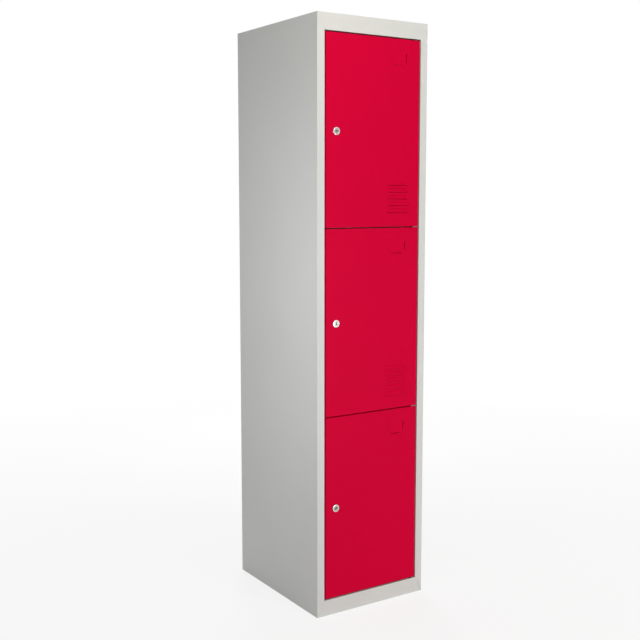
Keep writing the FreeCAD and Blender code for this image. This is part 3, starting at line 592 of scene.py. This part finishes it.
for door in DOORS:
    rim_low, rim_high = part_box(f"{door}_lock_housing")
    plug_low, plug_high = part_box(f"{door}_lock_plug")
    rim_radius = (rim_high.x - rim_low.x) / 2
    barrel_radius = rim_radius - BARREL_STEP
    bore_radius = (plug_high.x - plug_low.x) / 2 + PLUG_PLAY
    front = rim_low.y
    step_face = front + RIM_STEP_DEPTH
    bm = bmesh.new()
    lathe(bm, [
        (bore_radius, rim_high.y),
        (barrel_radius, rim_high.y),
        (barrel_radius, face_plane),
        (rim_radius, face_plane),
        (rim_radius, front),
        (RIM_STEP_RADIUS, front),
        (RIM_STEP_RADIUS, step_face),
        (bore_radius, step_face),
        (bore_radius, rim_high.y),
    ])
    round_rings(bm, rim_radius, front, RIM_ROUND)
    round_rings(bm, rim_radius, face_plane, RIM_BACK_ROUND)
    round_rings(bm, RIM_STEP_RADIUS, front, STEP_ROUND)
    for face in bm.faces:
        in_front = all(vert.co.y < step_face + NEAR for vert in face.verts)
        inside = all(vert.co.xz.length < RIM_STEP_RADIUS + NEAR for vert in face.verts)
        if in_front and inside:
            face.material_index = SECOND_FINISH
    bmesh.ops.translate(bm, verts=bm.verts, vec=lock_axis(f"{door}_lock_housing"))
    rim = piece_from(bm, f"{door}_lock_rim", chrome, f"{door}_door")
    rim.data.materials.append(dull_chrome)
    even_shading(rim)
    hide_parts(f"{door}_lock_housing")
dress(zinc, *(f"{door}_lock_nut" for door in DOORS))


# Lock plugs: dull chrome cylinders with a keyway, turning in the housings with a square drive behind.
# The keyway's walls and floor are painted near black, as painted shade for the deep narrow slot.
# Each was left at its own turn. A flat zinc-plated cam and its screw ride on the drive.
KEYWAY_WIDTH = 0.003
KEYWAY_LENGTH = 0.008
KEYWAY_DEPTH = 0.009
KEYWAY_TURN = {"lower": 120.0, "middle": 0.0, "upper": 90.0}
# Painted shade: near black for the keyway's faces, standing for the shade deep in the slot.
KEYWAY_SHADE_COLOUR = (0.03, 0.028, 0.025, 1.0)
KEYWAY_GRAIN = 1500.0
KEYWAY_ROUGHNESS = 0.5
PLUG_EDGE = 0.0004
DRIVE_SIZE = 0.007
END_FACE = 0.99
FRONT, REAR = -1, 1
keyway_painted_shade = metal("keyway_painted_shade", KEYWAY_SHADE_COLOUR, KEYWAY_GRAIN, KEYWAY_ROUGHNESS)


def push_rectangle(bm, facing, width, length, depth):
    """Pushes a rectangle of the plug's flat front or rear along its axis and returns the faces it makes."""
    for normal, reach in ((ACROSS, -width / 2), (ACROSS, width / 2), (UP, -length / 2), (UP, length / 2)):
        ends = [face for face in bm.faces if face.normal.y * facing > END_FACE]
        bmesh.ops.bisect_plane(bm, geom=with_rims(ends), dist=NEAR, plane_co=normal * reach, plane_no=normal)
    middles = {face: face.calc_center_median() for face in bm.faces if face.normal.y * facing > END_FACE}
    patch = [face for face, at in middles.items() if abs(at.x) < width / 2 and abs(at.z) < length / 2]
    verts = only_verts(bmesh.ops.extrude_face_region(bm, geom=patch)["geom"])
    bmesh.ops.delete(bm, geom=patch, context="FACES")
    bmesh.ops.translate(bm, verts=verts, vec=(0, depth, 0))
    bmesh.ops.recalc_face_normals(bm, faces=bm.faces)
    return {face for vert in verts for face in vert.link_faces}


for door in DOORS:
    plug_low, plug_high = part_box(f"{door}_lock_plug")
    cam_low, cam_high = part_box(f"{door}_lock_cam")
    radius = (plug_high.x - plug_low.x) / 2
    bm = bmesh.new()
    lathe(bm, [(0, cam_low.y), (radius, cam_low.y), (radius, plug_low.y)])
    bmesh.ops.contextual_create(bm, geom=[edge for edge in bm.edges if edge.is_boundary])
    bmesh.ops.recalc_face_normals(bm, faces=bm.faces)
    round_rings(bm, radius, plug_low.y, PLUG_EDGE)
    # The keyway's faces take the near-black painted shade.
    for face in push_rectangle(bm, FRONT, KEYWAY_WIDTH, KEYWAY_LENGTH, KEYWAY_DEPTH):
        face.material_index = SECOND_FINISH
    keyway_turn = Matrix.Rotation(math.radians(-KEYWAY_TURN[door]), 3, "Y")
    bmesh.ops.rotate(bm, verts=bm.verts, cent=(0, 0, 0), matrix=keyway_turn)
    push_rectangle(bm, REAR, DRIVE_SIZE, DRIVE_SIZE, cam_high.y - cam_low.y)
    bmesh.ops.translate(bm, verts=bm.verts, vec=lock_axis(f"{door}_lock_plug"))
    plug = piece_from(bm, f"{door}_lock_keyed_plug", dull_chrome, f"{door}_lock")
    plug.data.materials.append(keyway_painted_shade)
    even_shading(plug)
    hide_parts(f"{door}_lock_plug")
dress(zinc, *(f"{door}_{piece}" for door in DOORS for piece in ("lock_cam", "cam_screw")))


# Studio: a plain white floor that keeps the locker's shadow, a white surround and six soft lamps.
# The camera, reflections and glass see the surround as white. It lights the locker at a lower level.
# Each lamp is given as its place, its aim, its width, its power and its tint.
WHITE = (1.0, 1.0, 1.0, 1.0)
SURROUND_LIGHT = 0.27
FLOOR_HALF = 14.0
FLOOR_CELLS = 4
FLOOR_GREY = (0.90, 0.92)
FLOOR_NOISE = (1.5, 2.0)
FLOOR_ROUGHNESS = 0.9
FLOOR_GLOW = 0.80
FLOOR_FADE = (0.5, 3.0)
LAMPS = {
    "front_softbox": ((0.6, -3.0, 2.2), (0.0, -0.2, 1.0), 1.1, 19.0, (1.0, 0.985, 0.955)),
    "foot_softbox": ((0.9, -3.0, 0.35), (0.0, -0.2, 0.5), 0.9, 27.0, (0.985, 1.0, 0.99)),
    "corner_softbox": ((-0.38, -0.85, 2.1), (-0.18, -0.22, 1.66), 0.35, 2.4, (1.0, 0.955, 0.80)),
    "side_softbox": ((-1.0, -0.42, 1.0), (-0.19, -0.12, 1.0), 0.6, 4.0, (0.97, 0.99, 1.0)),
    "rear_softbox": ((1.2, 2.4, 1.5), (0.1, 0.1, 0.85), 1.2, 36.0, (1.0, 1.0, 1.0)),
    "top_softbox": ((0.0, 0.15, 3.2), (0.0, 0.15, 1.7), 0.5, 5.0, (1.0, 1.0, 1.0)),
}


def seen_directly(tree):
    """One for rays from the camera, a reflection or a glass; zero for the rest."""
    path = add_node(tree, "ShaderNodeLightPath", {}).outputs
    either = maths(tree, "MAXIMUM", path["Is Camera Ray"], path["Is Glossy Ray"])
    return maths(tree, "MAXIMUM", either, path["Is Transmission Ray"])


world = bpy.data.worlds.new("white_surround")
world.use_nodes = True
bpy.context.scene.world = world
world_tree = world.node_tree
surround_level = ranged(world_tree, seen_directly(world_tree), SURROUND_LIGHT, 1.0, span=(0.0, 1.0))
set_inputs(world_tree, world_tree.nodes["Background"], {"Color": WHITE, "Strength": surround_level})

floor_material, floor_tree, floor_shader = new_material("white_floor")
floor_place = object_place(floor_tree)
set_inputs(floor_tree, floor_shader, {
    "Base Color": ranged(floor_tree, noise_value(floor_tree, floor_place, *FLOOR_NOISE), *FLOOR_GREY),
    "Roughness": FLOOR_ROUGHNESS,
    "Specular IOR Level": 0.0,
})
floor_white = add_node(floor_tree, "ShaderNodeEmission", {"Color": WHITE, "Strength": 1.0})
floor_reach = add_node(floor_tree, "ShaderNodeVectorMath", {0: floor_place}, operation="LENGTH")
floor_fade = ranged(floor_tree, floor_reach.outputs["Value"], FLOOR_GLOW, 1.0, span=FLOOR_FADE)
floor_share = maths(floor_tree, "MULTIPLY", seen_directly(floor_tree), floor_fade)
floor_mix = add_node(
    floor_tree, "ShaderNodeMixShader",
    {0: floor_share, 1: floor_shader.outputs["BSDF"], 2: floor_white.outputs["Emission"]},
)
floor_tree.links.new(floor_mix.outputs[0], floor_tree.nodes["Material Output"].inputs["Surface"])
bm = bmesh.new()
bmesh.ops.create_grid(bm, x_segments=FLOOR_CELLS, y_segments=FLOOR_CELLS, size=FLOOR_HALF)
floor_mesh = bpy.data.meshes.new("studio_floor")
bm.to_mesh(floor_mesh)
bm.free()
floor_mesh.materials.append(floor_material)
floor = bpy.data.objects.new("studio_floor", floor_mesh)
bpy.context.scene.collection.objects.link(floor)

for name, (place, aim, width, power, tint) in LAMPS.items():
    lamp = bpy.data.lights.new(name, "AREA")
    lamp.shape = "SQUARE"
    lamp.size = width
    lamp.energy = power
    lamp.color = tint
    holder = bpy.data.objects.new(name, lamp)
    holder.location = place
    holder.rotation_euler = (Vector(aim) - Vector(place)).to_track_quat("-Z", "Y").to_euler()
    holder.visible_camera = False
    bpy.context.scene.collection.objects.link(holder)


# Camera: eye-level view on the lock side's front corner, tilted down a little.
# A small vertical shift of the lens sets the locker in the middle of the frame. Angles are in degrees.
CAMERA_PLACE = (-1.6693, -2.5203, 1.2066)
CAMERA_YAW = 32.960
CAMERA_PITCH = -6.559
CAMERA_LENS = 55.738
CAMERA_SENSOR = 36.0
CAMERA_SHIFT = -0.015625

view = bpy.data.cameras.new("photo_view")
view.sensor_width = CAMERA_SENSOR
view.lens = CAMERA_LENS
view.shift_y = CAMERA_SHIFT
view_holder = bpy.data.objects.new("photo_view", view)
view_holder.location = CAMERA_PLACE
view_holder.rotation_euler = (QUARTER_TURN + math.radians(CAMERA_PITCH), 0.0, math.radians(-CAMERA_YAW))
bpy.context.scene.collection.objects.link(view_holder)
bpy.context.scene.camera = view_holder
bpy.context.scene.view_settings.view_transform = "Standard"
